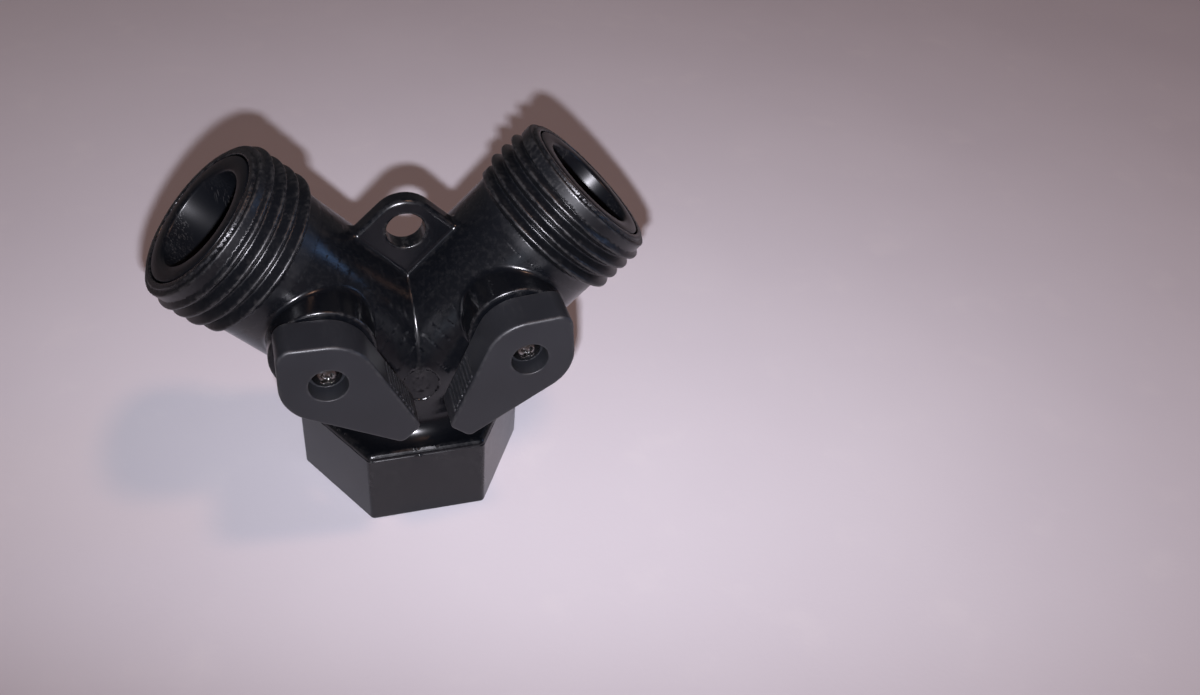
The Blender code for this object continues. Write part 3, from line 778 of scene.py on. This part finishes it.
def floor_surface():
    """A pale laminate: faint cloudy stains and a very fine grain."""
    n = Nodes("floor")
    clouds = n.noise(60, 4.0)
    stains = n.ramp(n.noise(14, 5.0), 0.55, 0.75)
    colour = n.mixed(clouds, shade((0.69, 0.66, 0.71)), shade((0.74, 0.715, 0.755)))
    colour = n.mixed(n.maths("MULTIPLY", stains, 0.25), colour, shade((0.8, 0.77, 0.79)))
    rough = n.ramp(clouds, 0.3, 0.7, 0.5, 0.6)
    return n.finish(colour, rough, n.bump(n.noise(0.8, 4.0), 0.02))


# ---------------------------------------------------------------- the pieces


def branch_matrix(side, along=0.0):
    """From a branch's frame, or one further along it, to the row frame, in metres."""
    junction = Matrix.Translation(HEX_AXIS + Vector((0, 0, JUNCTION_Z * MM)))
    tilted = junction @ Matrix.Rotation(side * BRANCH_ANGLE, 4, "Y")
    return tilted @ Matrix.Translation((0, 0, along * MM))


def stem_matrix(name):
    """From the frame of a stem, at the turn that it has at rest, to the row frame."""
    side = SIDES[name]
    upright = branch_matrix(side, VALVE_AT) @ Matrix.Rotation(pi / 2, 4, "X")
    return upright @ Matrix.Rotation(side * REST_TURN[name], 4, "Z")


def thread_zone(x, y, z):
    """1 on the outlet threads and 0 elsewhere."""
    strength = np.zeros(len(x))
    for side in SIDES.values():
        across, along = branch_frame(side, x, z)
        among = ramp(along, THREAD_FROM - 1, THREAD_FROM + 0.5)
        outside = ramp(np.hypot(across, y), CHAMBER_R + 0.2, CHAMBER_R + 0.6)
        strength = np.maximum(strength, among * outside)
    return strength


def build_housing(look):
    grid = [
        spaced([(-38.6, 0.27), (-11.3, 0.36), (11.3, 0.27), (38.6, 0)]),
        spaced([(-17.0, 0.3), (17.0, 0)]),
        spaced([(-0.8, 0.36), (13.1, 0.1), (13.7, 0.36), (33.7, 0.26), (61.3, 0)]),
    ]
    marks = [("thread", thread_zone)]
    body = moulded("moulded_valve_body", housing, grid, Matrix.Translation(HEX_AXIS), look, marks=marks)
    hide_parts("valve_body")
    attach(body, "housing")


def build_retainer(name, look):
    """The bushing in the outlet's end, its face a hair inside the rim, with rounded bore edges."""
    outer_r, low = CHAMBER_R - RETAINER_GAP, VALVE_AT + CHAMBER_BEFORE
    outline = [(RETAINER_BORE_R, low), (outer_r, low)]
    outline += rounded_corner(outer_r, OUTLET_AT, (0, -1), (-1, 0), RETAINER_RIM_EDGE)
    outline += rounded_corner(RETAINER_BORE_R, OUTLET_AT, (1, 0), (0, -1), RETAINER_BORE_EDGE)
    ring = turned(f"turned_{name}_seat_retainer", outline, 128, branch_matrix(SIDES[name]), look)
    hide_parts(f"{name}_seat_retainer")
    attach(ring, "housing")


def build_valve(name, looks):
    """The lever, its screw and the ball of one branch, which all turn together."""
    lever_grid = [
        spaced([(-7.6, 0.14), (7.6, 0)]),
        spaced([(-17.2, 0.14), (9.4, 0)]),
        spaced([(15.8, 0.14), (23.0, 0)]),
    ]
    screw_grid = [spaced([(-2.6, 0.07), (2.6, 0)])] * 2 + [spaced([(12.3, 0.2), (19.6, 0.07), (21.5, 0)])]
    ball_grid = [spaced([(-10.1, 0.3), (10.1, 0)])] * 3
    made = [
        (f"moulded_{name}_lever", lever, lever_grid, 60_000, "lever", "lever_plastic"),
        (f"cross_head_{name}_lever_screw", lever_screw, screw_grid, 20_000, "lever_screw", "screw_steel"),
        (f"drilled_{name}_ball", ball, ball_grid, 24_000, "ball", "ball_plastic"),
    ]
    for piece, field, grid, most, node, slot in made:
        obj = moulded(piece, field, grid, stem_matrix(name), looks[slot], most)
        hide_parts(f"{name}_{node}")
        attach(obj, f"{name}_valve")


def dress_hidden_nodes(looks):
    """The CAD's own seals, stems and washers stay, each with its record slot's material."""
    slots = {part["node"]: part["material_slot"] for part in frame["record"]["subparts"]}
    for node, obj in frame["nodes"].items():
        if not obj.hide_render:
            obj.data.materials.clear()
            obj.data.materials.append(looks[slots[node]])


# ---------------------------------------------------------------- floor, lights and camera


def build_floor():
    bm = bmesh.new()
    bmesh.ops.create_grid(bm, x_segments=8, y_segments=8, size=1.6)
    mesh = bpy.data.meshes.new("floor")
    bm.to_mesh(mesh)
    bm.free()
    mesh.materials.append(floor_surface())
    floor = bpy.data.objects.new("floor", mesh)
    bpy.context.scene.collection.objects.link(floor)


def area_light(name, location, target, size, power, colour):
    data = bpy.data.lights.new(name, "AREA")
    data.shape = "RECTANGLE"
    data.size, data.size_y = size
    data.energy = power
    data.color = colour
    made = bpy.data.objects.new(name, data)
    made.location = location
    made.rotation_euler = (Vector(target) - Vector(location)).to_track_quat("-Z", "Y").to_euler()
    bpy.context.scene.collection.objects.link(made)


def build_room():
    """A dim room: pale near the horizon and darker overhead."""
    world = bpy.data.worlds.new("room")
    world.use_nodes = True
    nodes, links = world.node_tree.nodes, world.node_tree.links
    place = nodes.new("ShaderNodeTexCoord")
    parts = nodes.new("ShaderNodeSeparateXYZ")
    height = nodes.new("ShaderNodeMapRange")
    height.inputs["From Min"].default_value = 0.1
    height.inputs["From Max"].default_value = 0.8
    mix = nodes.new("ShaderNodeMix")
    mix.data_type = "RGBA"
    mix.inputs[MIX_FIRST].default_value = (0.1, 0.09, 0.093, 1)
    mix.inputs[MIX_SECOND].default_value = (0.02, 0.019, 0.022, 1)
    links.new(place.outputs["Generated"], parts.inputs[0])
    links.new(parts.outputs["Z"], height.inputs["Value"])
    links.new(height.outputs["Result"], mix.inputs["Factor"])
    links.new(mix.outputs[MIX_RESULT], nodes["Background"].inputs["Color"])
    bpy.context.scene.world = world


def build_lights():
    """A small flash beside the camera, a warm ceiling lamp and daylight from two windows."""
    centre = (0, 0, 0.03)
    flash = (-0.0203, -0.1357, 0.1283)
    beyond = (0.29, 0.716, 0.551)  # the flash looks past the splitter, so it lights the floor evenly
    area_light("flash", flash, beyond, (0.004, 0.004), 1.2, (0.92, 0.9, 1.0))
    area_light("lamp", (0.35, -0.24, 1.2), centre, (0.15, 0.15), 2.5, (1.0, 0.56, 0.38))
    area_light("window_right", (1.2, -0.09, 0.34), centre, (0.28, 0.22), 1.0, (0.27, 0.5, 1.0))
    area_light("lamp_glow", (1.1, 0.4, 0.26), centre, (0.12, 0.25), 0.08, (1.0, 0.8, 0.74))
    area_light("window_front", (-0.6, -1.2, 0.16), centre, (0.5, 0.2), 0.3, (0.7, 0.82, 1.0))
    bpy.context.scene.view_settings.view_transform = "Standard"


def build_camera():
    location = Vector((-0.01991, -0.14114, 0.14369))
    heading, pitch, roll = 0.356, -0.688, 0.101
    forward = Vector((sin(heading) * cos(pitch), cos(heading) * cos(pitch), sin(pitch)))
    level = Vector((cos(heading), -sin(heading), 0))
    upward = level.cross(forward)
    right = cos(roll) * level + sin(roll) * upward
    up = cos(roll) * upward - sin(roll) * level
    data = bpy.data.cameras.new("camera")
    data.sensor_width = 36
    data.lens = 33.63
    data.clip_start = 0.005
    made = bpy.data.objects.new("camera", data)
    axes = Matrix((right, up, -forward)).transposed()
    made.matrix_world = Matrix.Translation(location) @ axes.to_4x4()
    bpy.context.scene.collection.objects.link(made)
    bpy.context.scene.camera = made


def build():
    black, satin = (0.0022, 0.0026, 0.0036), (0.0105, 0.0113, 0.0135)
    looks = {
        "housing_plastic": moulded_plastic("housing_plastic", black, 0.22, threads=True),
        "lever_plastic": moulded_plastic("lever_plastic", satin, 0.42),
        "retainer_plastic": moulded_plastic("retainer_plastic", black, 0.3, worn=0.7, shine=0.2),
        "ball_plastic": moulded_plastic("ball_plastic", black, 0.42),
        "seal_rubber": rubber("seal_rubber", (0.012, 0.012, 0.012)),
        "washer_rubber": rubber("washer_rubber", (0.015, 0.015, 0.015)),
        "screw_steel": screw_steel("screw_steel"),
    }
    build_housing(looks["housing_plastic"])
    for name in SIDES:
        build_retainer(name, looks["retainer_plastic"])
        build_valve(name, looks)
    dress_hidden_nodes(looks)
    build_floor()
    build_room()
    build_lights()
    build_camera()


build()
